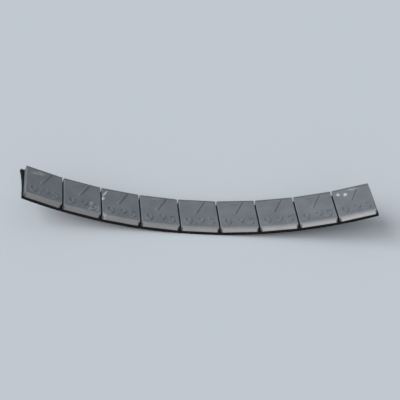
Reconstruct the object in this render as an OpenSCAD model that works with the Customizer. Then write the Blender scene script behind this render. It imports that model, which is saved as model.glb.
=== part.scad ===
// Stick-on wheel balance weight: a row of coated steel segments on one foam tape,
// bent to the inside of a round wall. Millimetres.
// +X runs along the strip, +Y across it and +Z from the tape's back towards the axis of the bend.
// The origin is the lowest point of the tape's back, half way along the tape.

/* [Steel segment] */
// Length of one segment along the strip
segment_l = 16.4; // [13:0.1:24]
// Width of one segment across the strip
segment_w = 21.4; // [14:0.1:28]
// Thickness of the steel
segment_t = 2.6; // [1.8:0.05:4]
// Radius of the rolled edges along the two long sides of the strip
side_edge_r = 0.9; // [0.4:0.1:1.5]
// Radius of the pressed edges at the two ends of a segment
end_edge_r = 0.4; // [0.2:0.05:0.8]
// Radius of the four upright corners
corner_r = 1; // [0.3:0.1:2]
// Radius left by the press under the side edges and end edges
under_edge_r = 0.25; // [0.1:0.05:0.5]

/* [Strip] */
// Gap between two segments, measured where they sit on the tape
segment_gap = 0.7; // [0.5:0.05:2]
// Radius of the round wall that the back of the tape follows
barrel_r = 215; // [150:5:300]

/* [Foam tape] */
// Thickness of the tape under the middle of a segment
tape_t = 1.4; // [0.8:0.1:2.4]
// How far the long edges of the tape lie inside the sides of the steel
tape_inset = 0.2; // [0.05:0.05:1]
// Length of tape that shows before the first segment, at the far corner
tape_start = 1.6; // [0.5:0.1:4]
// Angle out of square at which the tape was cut at its start
tape_start_skew = 4; // [0:0.5:8]
// Length of tape that shows after the last segment
tape_end = 0.4; // [0.2:0.1:3]

/* [Hidden] */
SEGMENTS = 9;

$fn = 96;

// The tape's own circle is drawn with more sides, because its radius is so large
TAPE_FN = 720;

// How far the shapes that cut another one run on past it
CUT_SPARE = 1;

STEEL_COLOUR = "#6f7379";
FOAM_COLOUR = "#17171a";

// Distance from the axis of the bend to the flat underside of a segment
seat_r = barrel_r - tape_t;

// Angle from one segment to the next, seen from the axis of the bend
pitch_angle = 2 * atan((segment_l + segment_gap) / 2 / seat_r);

// Angles taken up by the bare tape at the two ends of the strip
start_angle = atan(tape_start / seat_r);
end_angle = atan(tape_end / seat_r);

// Half the angle of a segment itself
half_segment_angle = atan(segment_l / 2 / seat_r);

// Half the angle of the whole tape, whose middle is at the origin
half_tape_angle = (SEGMENTS - 1) / 2 * pitch_angle + half_segment_angle + (start_angle + end_angle) / 2;

// The row of segments sits this far off the middle of the tape
row_angle = (start_angle - end_angle) / 2;

tape_w = segment_w - 2 * tape_inset;

// Angle of a segment's middle from the lowest point, positive towards +X
function segment_angle(index) = (index - (SEGMENTS + 1) / 2) * pitch_angle + row_angle;

// A point at a distance and an angle from the axis of the bend, which lies above the origin
function barrel_point(radius, angle) = [radius * sin(angle), barrel_r - radius * cos(angle)];

// Moves what is drawn on the origin to a distance from the axis of the bend, turned to face it
module on_barrel(radius, angle) {
    point = barrel_point(radius, angle);
    translate([point[0], 0, point[1]]) rotate([0, -angle, 0]) children();
}

// Section with round shoulders at the top and small round corners below, resting on y = 0
module shouldered_section(width, height, shoulder_r, foot_r) {
    difference() {
        translate([-width / 2, 0]) square([width, height]);
        for (side = [-1, 1]) {
            corner_waste(side * width / 2, height, -side, -1, shoulder_r);
            corner_waste(side * width / 2, 0, -side, 1, foot_r);
        }
    }
}

// What a round corner takes off a square one at [x, y]; dx and dy point into the section
module corner_waste(x, y, dx, dy, radius) {
    difference() {
        translate([x + dx * (radius - CUT_SPARE) / 2, y + dy * (radius - CUT_SPARE) / 2])
            square(radius + CUT_SPARE, center = true);
        translate([x + dx * radius, y + dy * radius]) circle(radius);
    }
}

// Outline of a segment seen on its face
module plan_section() {
    difference() {
        square([segment_l, segment_w], center = true);
        for (x = [-1, 1], y = [-1, 1])
            corner_waste(x * segment_l / 2, y * segment_w / 2, -x, -y, corner_r);
    }
}

// One steel segment: pressed from flat bar, its sides rolled over, its ends only eased
module segment(index) {
    color(STEEL_COLOUR)
        on_barrel(seat_r, segment_angle(index))
        intersection() {
            linear_extrude(height = segment_t) plan_section();
            rotate([90, 0, 0])
                linear_extrude(height = segment_w, center = true)
                shouldered_section(segment_l, segment_t, end_edge_r, under_edge_r);
            rotate([90, 0, 90])
                linear_extrude(height = segment_l, center = true)
                shouldered_section(segment_w, segment_t, side_edge_r, under_edge_r);
        }
}

// Lengthwise section of the tape: its back is round, its top has one flat seat for each segment
module tape_section() {
    side_r = 2 * barrel_r;
    difference() {
        intersection() {
            translate([0, barrel_r]) circle(barrel_r, $fn = TAPE_FN);
            polygon([
                barrel_point(0, 0),
                barrel_point(side_r, -half_tape_angle),
                barrel_point(side_r, half_tape_angle)
            ]);
        }
        polygon(concat([barrel_point(0, 0)], seat_line()));
    }
}

// Foam tape: one strip with straight sides, cut a little out of square where it starts
module foam_tape() {
    knife_l = 2 * tape_w;
    color(FOAM_COLOUR)
        difference() {
            rotate([90, 0, 0]) linear_extrude(height = tape_w, center = true) tape_section();
            on_barrel(barrel_r, -half_tape_angle)
                translate([0, tape_w / 2, 0])
                rotate([0, 0, tape_start_skew])
                translate([-knife_l, -knife_l, -CUT_SPARE])
                cube([knife_l, 2 * knife_l, tape_t + 2 * CUT_SPARE]);
        }
}

// A point on the flat seat of a segment, at a distance along the strip from the seat's middle
function seat_point(index, along) =
    barrel_point(norm([seat_r, along]), segment_angle(index) + atan(along / seat_r));

// The seats meet under the gaps, and the first and last run on past the ends of the tape
function seat_line() = concat(
    [seat_point(1, -segment_l)],
    [for (index = [1 : SEGMENTS - 1]) seat_point(index, (segment_l + segment_gap) / 2)],
    [seat_point(SEGMENTS, segment_l)]
);

for (index = [1 : SEGMENTS])
    segment(index);
foam_tape();
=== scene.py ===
import math

import bmesh
import bpy
from mathutils import Matrix, Quaternion, Vector, noise


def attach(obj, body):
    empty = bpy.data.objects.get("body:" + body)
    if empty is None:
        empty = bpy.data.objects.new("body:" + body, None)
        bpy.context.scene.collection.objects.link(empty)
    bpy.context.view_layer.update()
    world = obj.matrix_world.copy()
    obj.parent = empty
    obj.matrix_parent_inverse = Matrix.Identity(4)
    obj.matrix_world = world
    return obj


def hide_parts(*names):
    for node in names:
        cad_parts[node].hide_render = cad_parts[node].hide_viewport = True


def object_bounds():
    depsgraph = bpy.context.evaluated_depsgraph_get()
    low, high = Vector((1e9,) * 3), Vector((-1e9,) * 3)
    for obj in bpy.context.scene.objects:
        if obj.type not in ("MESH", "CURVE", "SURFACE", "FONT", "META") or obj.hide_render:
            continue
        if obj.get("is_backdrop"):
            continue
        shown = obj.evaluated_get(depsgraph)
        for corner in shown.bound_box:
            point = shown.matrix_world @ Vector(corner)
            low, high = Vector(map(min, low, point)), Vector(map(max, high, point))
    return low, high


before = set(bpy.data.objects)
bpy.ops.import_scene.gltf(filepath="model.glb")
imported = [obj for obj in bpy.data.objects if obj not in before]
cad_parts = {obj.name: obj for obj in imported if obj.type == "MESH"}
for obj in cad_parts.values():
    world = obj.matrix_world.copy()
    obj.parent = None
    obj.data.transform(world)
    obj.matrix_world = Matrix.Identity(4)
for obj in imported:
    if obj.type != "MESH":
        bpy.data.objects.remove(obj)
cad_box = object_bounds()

# Foam tape. One strip of black closed-cell foam, 1.4 mm thick, with adhesive on its face and its back. It is
# slit from a wide roll, so its sides show cut pores, and it is snipped by hand at its start, out of square.
# Its back is bent to the round wall that it sticks to, and each segment presses a flat seat into its face.
BARREL_R = 0.215
TAPE_T = 0.0014
TAPE_W = 0.0210

# Bare tape past the steel: at the far corner and the near corner of its start, and at its end. The cut at
# the start swings out towards the far corner, by a power of the way across.
TAPE_START = 0.0016
TAPE_START_NEAR = 0.0003
TAPE_START_FLARE = 3
TAPE_END = 0.0004

# The segments that it carries set its length and its seats
SEGMENTS = 9
SEGMENT_L = 0.0164
SEGMENT_GAP = 0.0007
PITCH = SEGMENT_L + SEGMENT_GAP
MIDDLE_NUMBER = (SEGMENTS + 1) / 2
SEAT_R = BARREL_R - TAPE_T
PITCH_ANGLE = 2 * math.atan(PITCH / 2 / SEAT_R)
HALF_ROW_ANGLE = (SEGMENTS - 1) / 2 * PITCH_ANGLE + math.atan(SEGMENT_L / 2 / SEAT_R)
START_ANGLE = math.atan(TAPE_START / SEAT_R)
END_ANGLE = math.atan(TAPE_END / SEAT_R)
HALF_TAPE_ANGLE = HALF_ROW_ANGLE + (START_ANGLE + END_ANGLE) / 2
ROW_ANGLE = (START_ANGLE - END_ANGLE) / 2

# Cut pores, with finer ones among them, and the foam's cells in its material
PORE = 0.0004
PORE_DEPTH = 0.00007
FINER_BY = 2.3
CELL = 0.00028

# How finely the tape is divided along, through and across it, how far out on the block a point lies on a
# cut side, and from which angle on an edge stays sharp
TAPE_COLUMNS = 520
TAPE_LAYERS = 6
TAPE_ROWS = 14
CUT_SIDE = 0.499
SHARP_ANGLE = math.radians(40)


def paint(red, green, blue):
    """Linear colour of an 8-bit screen colour, by the sRGB curve."""
    shares = [part / 255 for part in (red, green, blue)]
    linear = [share / 12.92 if share <= 0.04045 else ((share + 0.055) / 1.055) ** 2.4 for share in shares]
    return (*linear, 1)


FOAM_ROUGHNESS = 0.93
FOAM_SPECULAR = 0.2
FOAM_BLACK = paint(24, 24, 27)
CELL_DARK = paint(6, 6, 7)
CELL_PALE = paint(22, 22, 24)
FILM_DARK = paint(10, 10, 11)
FILM_PALE = paint(17, 17, 19)


class Wire:
    """An output in a tree of nodes, or the tree alone where no socket is given.

    Arithmetic on it adds Math nodes, and node() adds any other node.
    """

    def __init__(self, tree, socket=None):
        self.tree = tree
        self.socket = socket

    def node(self, kind, settings=None, inputs=None, output=0):
        """Adds a node. Its settings are set first, and then the values or links of its sockets."""
        added = self.tree.nodes.new(kind)
        for name, value in (settings or {}).items():
            setattr(added, name, value)
        for name, value in (inputs or {}).items():
            if isinstance(value, Wire):
                value.feed(added.inputs[name])
            else:
                added.inputs[name].default_value = value
        return Wire(self.tree, added.outputs[output])

    def feed(self, socket):
        """Links this output to a socket."""
        self.tree.links.new(self.socket, socket)

    def math(self, operation, *values):
        return self.node("ShaderNodeMath", {"operation": operation}, dict(enumerate(values)))

    def __add__(self, other):
        return self.math("ADD", self, other)

    def __sub__(self, other):
        return self.math("SUBTRACT", self, other)

    def __rsub__(self, other):
        return self.math("SUBTRACT", other, self)

    def __mul__(self, other):
        return self.math("MULTIPLY", self, other)

    def __truediv__(self, other):
        return self.math("DIVIDE", self, other)

    def __abs__(self):
        return self.math("ABSOLUTE", self)

    def __round__(self):
        return self.math("ROUND", self)

    __radd__ = __add__
    __rmul__ = __mul__

    def square_root(self):
        return self.math("SQRT", self)

    def maximum(self, other):
        return self.math("MAXIMUM", self, other)

    def part(self, axis):
        """One of the three numbers of a place: X, Y or Z."""
        return self.node("ShaderNodeSeparateXYZ", inputs={"Vector": self}, output=axis)

    def fade(self, start, end):
        """Goes smoothly from 0 at one value to 1 at the other."""
        return self.node(
            "ShaderNodeMapRange",
            {"interpolation_type": "SMOOTHSTEP"},
            {"Value": self, "From Min": start, "From Max": end},
        )

    def mottle(self, size, detail):
        """Soft random patches on a place, from 0 to 1, of a size in metres."""
        return self.node("ShaderNodeTexNoise", inputs={"Vector": self, "Scale": 1 / size, "Detail": detail})

    def colour(self, below, above):
        """Turns from one colour to another with this mask. The Mix node's colour sockets go by number."""
        return self.node("ShaderNodeMix", {"data_type": "RGBA"}, {0: self, 6: below, 7: above}, output=2)

    def emboss(self, shader, strength, depth):
        """Shows this height as relief on a shader, to a depth in metres."""
        bump = self.node("ShaderNodeBump", inputs={"Height": self, "Strength": strength, "Distance": depth})
        bump.feed(shader.inputs["Normal"])


def finish_material(name, plain_colour):
    """A new material, its principled shader, and the two places that its nodes read.

    The first is the place on the object. The other is the place before the strip was bent: along it, across
    it and above the underside of the piece.
    """
    material = bpy.data.materials.new(name)
    material.use_nodes = True
    material.diffuse_color = plain_colour
    shader = material.node_tree.nodes["Principled BSDF"]
    wire = Wire(material.node_tree)
    place = wire.node("ShaderNodeTexCoord", output="Object")
    unrolled = wire.node("ShaderNodeAttribute", {"attribute_name": "unrolled"}, output="Vector")
    return material, shader, place, unrolled


def mesh_of(name, shape):
    """A new mesh of a finished shape."""
    mesh = bpy.data.meshes.new(name)
    shape.to_mesh(mesh)
    shape.free()
    return mesh


def put_in_scene(name, data):
    """A new object at the origin, unturned."""
    thing = bpy.data.objects.new(name, data)
    bpy.context.collection.objects.link(thing)
    return thing


def segment_angle(number):
    """Angle of a segment's middle round the axis of the bend, from the lowest point towards +X."""
    return (number - MIDDLE_NUMBER) * PITCH_ANGLE + ROW_ANGLE


def tape_place(angle, across, rise):
    """Where a point of the tape lies once it is bent; rise goes from 0 at its back to 1 at its face."""
    nearest = round((angle - ROW_ANGLE) / PITCH_ANGLE + MIDDLE_NUMBER)
    nearest = min(max(nearest, 1), SEGMENTS)
    face_r = SEAT_R / math.cos(angle - segment_angle(nearest))
    radius = BARREL_R + (face_r - BARREL_R) * rise
    return Vector((radius * math.sin(angle), across, BARREL_R - radius * math.cos(angle)))


def foam_pores(place):
    """How deep the slitting knife's cut lies at a point, where it opened the foam's cells."""
    cells = noise.noise(place / PORE) + 0.5 * noise.noise(place / PORE * FINER_BY)
    return PORE_DEPTH * min(max(0.5 + cells, 0), 1)


# The tape starts as a block of size 1. Its near side is a fine grid, pulled across to the far side in rows.
tape = bmesh.new()
bmesh.ops.create_grid(
    tape,
    x_segments=TAPE_COLUMNS,
    y_segments=TAPE_LAYERS,
    size=0.5,
    matrix=Matrix.Translation((0, -0.5, 0.5)) @ Matrix.Rotation(math.pi / 2, 4, "X"),
)
pulled = tape.edges[:] + tape.faces[:]
for _ in range(TAPE_ROWS):
    pulled = bmesh.ops.extrude_face_region(tape, geom=pulled)["geom"]
    moved = [part for part in pulled if isinstance(part, bmesh.types.BMVert)]
    bmesh.ops.translate(tape, verts=moved, vec=(0, 1 / TAPE_ROWS, 0))
bmesh.ops.recalc_face_normals(tape, faces=tape.faces)

# The block is bent, its start is cut askew, and its cut sides and ends are opened into pores, which close up
# towards its face and its back
unrolled_layer = tape.verts.layers.float_vector.new("unrolled")
for vert in tape.verts:
    x, y, rise = vert.co
    across = y * TAPE_W
    skew = (TAPE_START - TAPE_START_NEAR) * (1 - (y + 0.5) ** TAPE_START_FLARE)
    start = skew / BARREL_R - HALF_TAPE_ANGLE
    angle = start + (x + 0.5) * (HALF_TAPE_ANGLE - start)
    depth = foam_pores(Vector((angle * BARREL_R, across, rise * TAPE_T))) * math.sin(math.pi * rise) ** 0.5
    if abs(y) > CUT_SIDE:
        across -= math.copysign(depth, y)
    if abs(x) > CUT_SIDE:
        angle -= math.copysign(depth / BARREL_R, x)
    vert[unrolled_layer] = (angle * BARREL_R, across, rise * TAPE_T)
    vert.co = tape_place(angle, across, rise)

foam_mesh = mesh_of("foam_strip", tape)
foam_mesh.shade_smooth()
foam_mesh.set_sharp_from_angle(angle=SHARP_ANGLE)
foam_strip = put_in_scene("foam_strip", foam_mesh)

# Black foam with open, slightly dusty cells on its cut sides, and a thin tacky film on its face and its back
foam, shader, place, unrolled = finish_material("black_foam", FOAM_BLACK)
height = unrolled.part("Z")
film = abs(height / TAPE_T - 0.5).fade(0.44, 0.49)
cells = place.node(
    "ShaderNodeTexVoronoi",
    {"feature": "F1"},
    {"Vector": place, "Scale": 1 / CELL},
    output="Distance",
)
pores = cells.fade(0.15, 0.6)
dust = place.mottle(size=0.0011, detail=4).fade(0.55, 0.8)
dusty = (pores * (0.4 + 0.6 * dust)).colour(CELL_DARK, CELL_PALE)
film_black = place.mottle(size=0.004, detail=3).colour(FILM_DARK, FILM_PALE)
film.colour(dusty, film_black).feed(shader.inputs["Base Color"])
(FOAM_ROUGHNESS - film * 0.25).feed(shader.inputs["Roughness"])
relief = pores * (1 - film) * 0.8 + place.mottle(size=0.0016, detail=3) * film * 0.6
relief.emboss(shader, strength=0.6, depth=0.0001)
shader.inputs["Specular IOR Level"].default_value = FOAM_SPECULAR
foam_mesh.materials.append(foam)

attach(foam_strip, "root")
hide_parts("foam_tape")

# Steel segments. Nine blanks of a quarter of an ounce, pressed from flat bar: the press rolls the two long
# sides over, only eases the two ends, and raises plain numbers on the face. They are coated in a satin grey
# and stuck side by side on the tape, which bends in the gaps between them.
SEGMENT_W = 0.0214
SEGMENT_T = 0.0026
SIDE_EDGE_R = 0.0009
END_EDGE_R = 0.0004
CORNER_R = 0.001
UNDER_EDGE_R = 0.00025
HALF_L = SEGMENT_L / 2
HALF_W = SEGMENT_W / 2

# How finely each rounding is cut, how far inside a rolled edge one more cut holds the face flat, and how
# near counts as touching, or as lying on a cut
EDGE_CUTS = 8
CORNER_CUTS = 6
UNDER_EDGE_CUTS = 3
HOLDING_CUT = 0.00012
TOUCHING = 1e-6
ON_THE_CUT = 1e-7

# Raised numbers: how far they stand out of the face and reach into it, how their edges are eased and how
# finely they are drawn, and then what they say, how large and where
NUMBER_RISE = 0.0003
NUMBER_ROOT = 0.0002
NUMBER_EASE = 0.00012
NUMBER_EASE_CUTS = 2
NUMBER_CURVE_CUTS = 5
NUMBER_SPACING = 1.1
SMALL_NUMBER = "0.25"
SMALL_NUMBER_SIZE = 0.0072
SMALL_NUMBER_PLACE = (0, -0.0086)
LARGE_NUMBER = "7"
LARGE_NUMBER_SIZE = 0.0135
LARGE_NUMBER_PLACE = (0, -0.0004)

COAT_ROUGHNESS = 0.43
COAT_GREY = paint(112, 116, 122)
CLOUD_DARK = paint(96, 101, 107)
CLOUD_PALE = paint(106, 111, 117)
SPECKLE_GREY = paint(118, 122, 127)
# Painted shade on the far edge
FAR_EDGE_SHADE_GREY = paint(58, 60, 63)
# The next two greys are a painted sheen: warm on the near side, and paler there towards +X
NEAR_SIDE_SHEEN_GREY = paint(108, 106, 105)
SHEEN_TOWARDS_X_GREY = paint(175, 175, 176)
WORN_GREY = paint(158, 160, 163)
# This grey also paints one highlight, on a corner of segment 3
RUB_AND_GLINT_GREY = paint(164, 167, 167)
# Painted shade low on the sides
FOOT_SHADE_GREY = paint(66, 67, 70)
# Painted shade in the gaps and their corners
GAP_SHADE_BLACK = paint(34, 35, 37)
BARE_DARK = paint(164, 167, 170)
BARE_PALE = paint(208, 210, 211)

# Each chip and rub: its segment, its middle along and across that segment, its half length and half width in
# metres, and its turn in degrees
CHIPS = [
    (9, -0.0058, 0.0062, 0.0007, 0.0011, 10),
    (9, -0.0028, 0.0052, 0.0008, 0.0012, -12),
    (3, -0.0068, 0.0060, 0.0026, 0.0004, 66),
    (3, -0.0077, 0.0018, 0.0012, 0.0006, 80),
]
RUBS_AND_GLINT = [
    (9, 0.0014, 0.0078, 0.0024, 0.0007, -4),
    (2, 0.0039, -0.0046, 0.0018, 0.0008, 75),
    (2, 0.0064, -0.0072, 0.0020, 0.0009, 80),
    (2, 0.0030, -0.0088, 0.0012, 0.0006, 70),
    (1, -0.0028, 0.0066, 0.0030, 0.0010, 10),
    # A painted highlight on the near corner at the left end of segment 3, listed among the rubs
    (3, -0.0073, -0.0101, 0.0008, 0.0010, 0),
]
PATCH_SOFTNESS = 0.35


def round_edges(shape, edges, radius, cuts):
    """Rounds some edges of a shape to a radius."""
    bmesh.ops.bevel(
        shape,
        geom=edges,
        offset=radius,
        offset_type="OFFSET",
        segments=cuts,
        profile=0.5,
        affect="EDGES",
        material=-1,
    )


def edge_cuts(half, radius):
    """Where the face is cut so that an edge can be rolled, with one more cut that holds the flat."""
    turns = [math.pi / 2 * step / EDGE_CUTS for step in range(EDGE_CUTS)]
    insets = [radius * (1 - math.sin(turn)) for turn in turns] + [radius + HOLDING_CUT]
    return [side * (half - inset) for inset in insets for side in (-1, 1)]


def rolled_drop(inset, radius):
    """How far the face has fallen at a distance inside an edge rolled to a radius."""
    inside = max(radius - inset, 0)
    return radius - math.sqrt(max(radius ** 2 - inside ** 2, 0))


def applied_mesh(thing):
    """A new mesh of an object as its modifiers leave it."""
    return bpy.data.meshes.new_from_object(thing.evaluated_get(bpy.context.evaluated_depsgraph_get()))


def raised_number(body, size, place):
    """A solid number with eased edges, its root sunk into the face."""
    outline = bpy.data.curves.new("number", "FONT")
    outline.body = body
    outline.size = size
    outline.align_x = "CENTER"
    outline.space_character = NUMBER_SPACING
    outline.resolution_u = NUMBER_CURVE_CUTS
    outline.bevel_depth = NUMBER_EASE
    outline.bevel_resolution = NUMBER_EASE_CUTS
    outline.offset = -NUMBER_EASE
    outline.extrude = (NUMBER_RISE + NUMBER_ROOT) / 2 - NUMBER_EASE
    written = put_in_scene("number", outline)
    solid = applied_mesh(written)
    solid.transform(Matrix.Translation((*place, SEGMENT_T + (NUMBER_RISE - NUMBER_ROOT) / 2)))
    bpy.data.objects.remove(written)
    bpy.data.curves.remove(outline)
    closed = bmesh.new()
    closed.from_mesh(solid)
    bmesh.ops.remove_doubles(closed, verts=closed.verts, dist=TOUCHING)
    bmesh.ops.recalc_face_normals(closed, faces=closed.faces)
    closed.to_mesh(solid)
    closed.free()
    return put_in_scene("number", solid)


# A block is rounded at its upright corners and round its underside
segment = bmesh.new()
bmesh.ops.create_cube(
    segment,
    size=1,
    matrix=Matrix.Translation((0, 0, SEGMENT_T / 2)) @ Matrix.Diagonal((SEGMENT_L, SEGMENT_W, SEGMENT_T, 1)),
)
upright = [edge for edge in segment.edges if abs(edge.verts[0].co.z - edge.verts[1].co.z) > SEGMENT_T / 2]
round_edges(segment, upright, CORNER_R, CORNER_CUTS)
under = [edge for edge in segment.edges if max(vert.co.z for vert in edge.verts) < TOUCHING]
round_edges(segment, under, UNDER_EDGE_R, UNDER_EDGE_CUTS)

# It is cut finely along its edges, and its face is pressed down there, far on the long sides and little at
# the ends. At a corner the two run softly into one.
cuts = [((x, 0, 0), (1, 0, 0)) for x in edge_cuts(HALF_L, END_EDGE_R)]
cuts += [((0, y, 0), (0, 1, 0)) for y in edge_cuts(HALF_W, SIDE_EDGE_R)]
for point, normal in cuts:
    everything = segment.verts[:] + segment.edges[:] + segment.faces[:]
    bmesh.ops.bisect_plane(segment, geom=everything, dist=ON_THE_CUT, plane_co=point, plane_no=normal)
for vert in segment.verts:
    if vert.co.z > SEGMENT_T - TOUCHING:
        side_drop = rolled_drop(HALF_W - abs(vert.co.y), SIDE_EDGE_R)
        end_drop = rolled_drop(HALF_L - abs(vert.co.x), END_EDGE_R)
        vert.co.z -= (side_drop ** 4 + end_drop ** 4) ** 0.25

# The numbers become one with the steel
blank = put_in_scene("blank", mesh_of("blank", segment))
marks = [
    raised_number(SMALL_NUMBER, SMALL_NUMBER_SIZE, SMALL_NUMBER_PLACE),
    raised_number(LARGE_NUMBER, LARGE_NUMBER_SIZE, LARGE_NUMBER_PLACE),
]
for mark in marks:
    joined = blank.modifiers.new("joined", "BOOLEAN")
    joined.operation = "UNION"
    joined.solver = "EXACT"
    joined.object = mark
pressed_mesh = applied_mesh(blank)
for used in [blank, *marks]:
    used_mesh = used.data
    bpy.data.objects.remove(used)
    bpy.data.meshes.remove(used_mesh)

# Satin grey coating, with the chips and rubs of this strip
coating, shader, place, unrolled = finish_material("grey_coating", COAT_GREY)
along, across, height = [unrolled.part(axis) for axis in ("X", "Y", "Z")]
from_end = HALF_L - abs(along - PITCH * round(along / PITCH))
from_side = HALF_W - abs(across)


def patch(number, middle_x, middle_y, half_length, half_width, turn):
    """A patch with a soft edge on one segment, from 0 outside it to 1 inside."""
    right = along - (PITCH * (number - MIDDLE_NUMBER) + middle_x)
    far = across - middle_y
    cosine, sine = math.cos(math.radians(turn)), math.sin(math.radians(turn))
    length = (right * cosine + far * sine) / half_length
    width = (far * cosine - right * sine) / half_width
    from_middle = (length * length + width * width).square_root()
    return from_middle.fade(1 + PATCH_SOFTNESS, 1 - PATCH_SOFTNESS)


def any_of(patches):
    """One mask of several patches."""
    mask = patch(*patches[0])
    for values in patches[1:]:
        mask = mask.maximum(patch(*values))
    return mask


# A fade of a distance is in metres, and a fade of a mottle goes between two of its levels. Chips go through
# to bare metal, the rubs scuff the coating, save the last one listed, which is a painted highlight on a
# corner, and the upper edges of the ends are a bit worn.
ragged = place.mottle(size=0.0007, detail=3)
flaked = place.mottle(size=0.0003, detail=4)
chipped = (any_of(CHIPS) * (0.2 + flaked * 1.6)).fade(0.4, 0.65)
rubbed_and_glint = any_of(RUBS_AND_GLINT) * ragged.fade(0.2, 0.7)
crest = from_end.fade(0.0007, 0.0001) * height.fade(0.0018, 0.0022)
worn = crest * ragged.fade(0.35, 0.75)

# Painted shade lies low on the sides, on the end faces in the gaps, and darkest in the corners beside a gap
foot_shade = height.fade(0.0004, 0.0001) * (0.4 + 0.6 * ragged)
end_face = from_end.fade(0.0005, 0.0001) * height.fade(SEGMENT_T, 0.0020)
corner = from_end.fade(0.0011, 0.0005) * from_side.fade(0.0007, 0.0003) * height.fade(0.0022, 0.0014)
gap_shade = (end_face * 0.55).maximum(corner * (0.75 + 0.5 * ragged) * 0.9)

# The coating is cloudy and speckled. Painted shade darkens its far edge, and a painted sheen lies warm on
# the near side and turns paler there towards +X.
cloud = place.mottle(size=0.006, detail=3)
speckle = place.mottle(size=0.00035, detail=2)
uneven = 0.7 + 0.5 * cloud
far_edge_shade = across.fade(HALF_W - 0.0022, HALF_W - 0.0006) * uneven
near_side_sheen = across.fade(SIDE_EDGE_R - HALF_W, 0.0002 - HALF_W) * height.fade(SEGMENT_T, 0.0012)
sheen_towards_x = near_side_sheen * along.fade(-0.070, 0.085) * uneven

# The colour is laid on in layers: where each one lies, how strong it is, and its own colour
grey = cloud.fade(0.3, 0.7).colour(CLOUD_DARK, CLOUD_PALE)
for mask, strength, layer in [
    (speckle.fade(0.5, 0.75), 0.5, SPECKLE_GREY),
    (far_edge_shade, 0.7, FAR_EDGE_SHADE_GREY),
    (near_side_sheen, 0.8, NEAR_SIDE_SHEEN_GREY),
    (sheen_towards_x, 0.9, SHEEN_TOWARDS_X_GREY),
    (worn, 0.25, WORN_GREY),
    (rubbed_and_glint, 0.7, RUB_AND_GLINT_GREY),
    (foot_shade, 0.3, FOOT_SHADE_GREY),
    (gap_shade, 1, GAP_SHADE_BLACK),
]:
    grey = (mask * strength).colour(grey, layer)
bare = flaked.fade(0.3, 0.7).colour(BARE_DARK, BARE_PALE)
chipped.colour(grey, bare).feed(shader.inputs["Base Color"])
(COAT_ROUGHNESS + 0.10 * cloud + 0.2 * foot_shade - 0.1 * chipped).feed(shader.inputs["Roughness"])
(0.25 * chipped).feed(shader.inputs["Metallic"])
orange_peel = place.mottle(size=0.0009, detail=1) + 0.35 * place.mottle(size=0.00025, detail=1)
(orange_peel - 0.8 * chipped).emboss(shader, strength=0.35, depth=0.00005)

# The pressed shape is copied once for each segment, and each copy is set flat on its seat
for number in range(1, SEGMENTS + 1):
    steel_mesh = pressed_mesh.copy()
    steel_mesh.name = f"steel_segment_{number}"
    unrolled_layer = steel_mesh.attributes.new("unrolled", "FLOAT_VECTOR", "POINT")
    for vert, spot in zip(steel_mesh.vertices, unrolled_layer.data):
        spot.vector = vert.co + Vector((PITCH * (number - MIDDLE_NUMBER), 0, 0))
    angle = segment_angle(number)
    seat = Vector((SEAT_R * math.sin(angle), 0, BARREL_R - SEAT_R * math.cos(angle)))
    steel_mesh.transform(Matrix.Translation(seat) @ Matrix.Rotation(-angle, 4, "Y"))
    steel_mesh.shade_smooth()
    steel_mesh.set_sharp_from_angle(angle=SHARP_ANGLE)
    steel_mesh.materials.append(coating)
    steel_segment = put_in_scene(f"steel_segment_{number}", steel_mesh)
    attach(steel_segment, "root")
    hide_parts(f"segment_{number}")
bpy.data.meshes.remove(pressed_mesh)

# Floor. A plain pale sheet, a little cool, for the strip to lie on. It lies a hair under the lowest point of
# the tape, so that the two surfaces don't fall together.
FLOOR_SIZE = 6
FLOOR_DROP = 0.00002
FLOOR_ROUGHNESS = 0.7
FLOOR_GREY = paint(198, 205, 214)
floor_shape = bmesh.new()
bmesh.ops.create_grid(
    floor_shape,
    x_segments=1,
    y_segments=1,
    size=FLOOR_SIZE / 2,
    matrix=Matrix.Translation((0, 0, -FLOOR_DROP)),
)
floor_mesh = mesh_of("floor", floor_shape)
floor = put_in_scene("floor", floor_mesh)
floor_sheet = bpy.data.materials.new("pale_floor")
floor_sheet.use_nodes = True
shader = floor_sheet.node_tree.nodes["Principled BSDF"]
shader.inputs["Base Color"].default_value = FLOOR_GREY
shader.inputs["Roughness"].default_value = FLOOR_ROUGHNESS
floor_mesh.materials.append(floor_sheet)
floor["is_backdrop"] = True

# Light. Two broad soft lights, one from the left and one low from the front, and pale light from all round.
# What the camera and the gloss of the coating see beyond the floor is about as pale as the floor itself.
AMBIENT = (0.2232, 0.2328, 0.24, 1)
HORIZON_GREY = paint(188, 196, 206)
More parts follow.
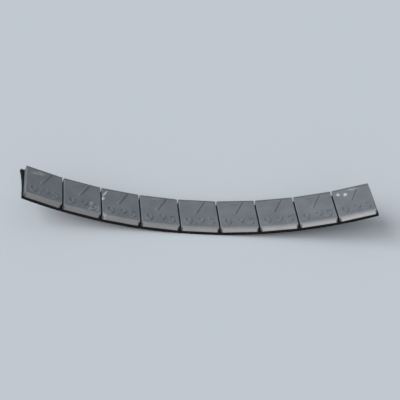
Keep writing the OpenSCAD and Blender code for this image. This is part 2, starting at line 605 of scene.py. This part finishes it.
LIGHT_SPREAD = math.radians(60)
world = bpy.data.worlds.new("studio")
world.use_nodes = True
bpy.context.scene.world = world
wire = Wire(world.node_tree)
seen = wire.node("ShaderNodeLightPath", output="Is Camera Ray")
for kind in ("Is Glossy Ray", "Is Transmission Ray"):
    seen = seen.maximum(wire.node("ShaderNodeLightPath", output=kind))
seen.colour(AMBIENT, HORIZON_GREY).feed(world.node_tree.nodes["Background"].inputs["Color"])


def soft_light(name, source, strength, tint):
    """Broad light from far away in a direction."""
    light = bpy.data.lights.new(name, "SUN")
    light.color = tint
    light.angle = LIGHT_SPREAD
    light.energy = strength
    lamp = put_in_scene(name, light)
    lamp.rotation_mode = "QUATERNION"
    lamp.rotation_quaternion = Vector(source).to_track_quat("Z", "Y")


soft_light("left_light", source=(-0.80, -0.22, 0.56), strength=2.7, tint=(0.98, 1, 1))
soft_light("front_light", source=(-0.25, -0.90, 0.38), strength=1.9, tint=(1, 0.95, 0.90))

# Camera. It looks down on the strip from in front and a little from its left, rolled as the photograph is.
TARGET = Vector((0.00086, 0.00249, 0.00909))
AZIMUTH = math.radians(-8.88)
ELEVATION = math.radians(31.84)
ROLL = math.radians(7.69)
DISTANCE = 0.5783
LENS = 121.3
SENSOR_WIDTH = 36
NEAREST_SEEN = 0.01
towards = Vector(
    (math.sin(AZIMUTH) * math.cos(ELEVATION), -math.cos(AZIMUTH) * math.cos(ELEVATION), math.sin(ELEVATION))
)
camera = put_in_scene("camera", bpy.data.cameras.new("camera"))
camera.data.lens = LENS
camera.data.sensor_width = SENSOR_WIDTH
camera.data.clip_start = NEAREST_SEEN
camera.location = TARGET + towards * DISTANCE
camera.rotation_mode = "QUATERNION"
camera.rotation_quaternion = towards.to_track_quat("Z", "Y") @ Quaternion((0, 0, 1), ROLL)
bpy.context.scene.camera = camera
bpy.context.scene.view_settings.view_transform = "Standard"

# The size of the whole object, as packed and as dressed, is worked out.
[[list(corner) for corner in box] for box in (cad_box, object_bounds())]
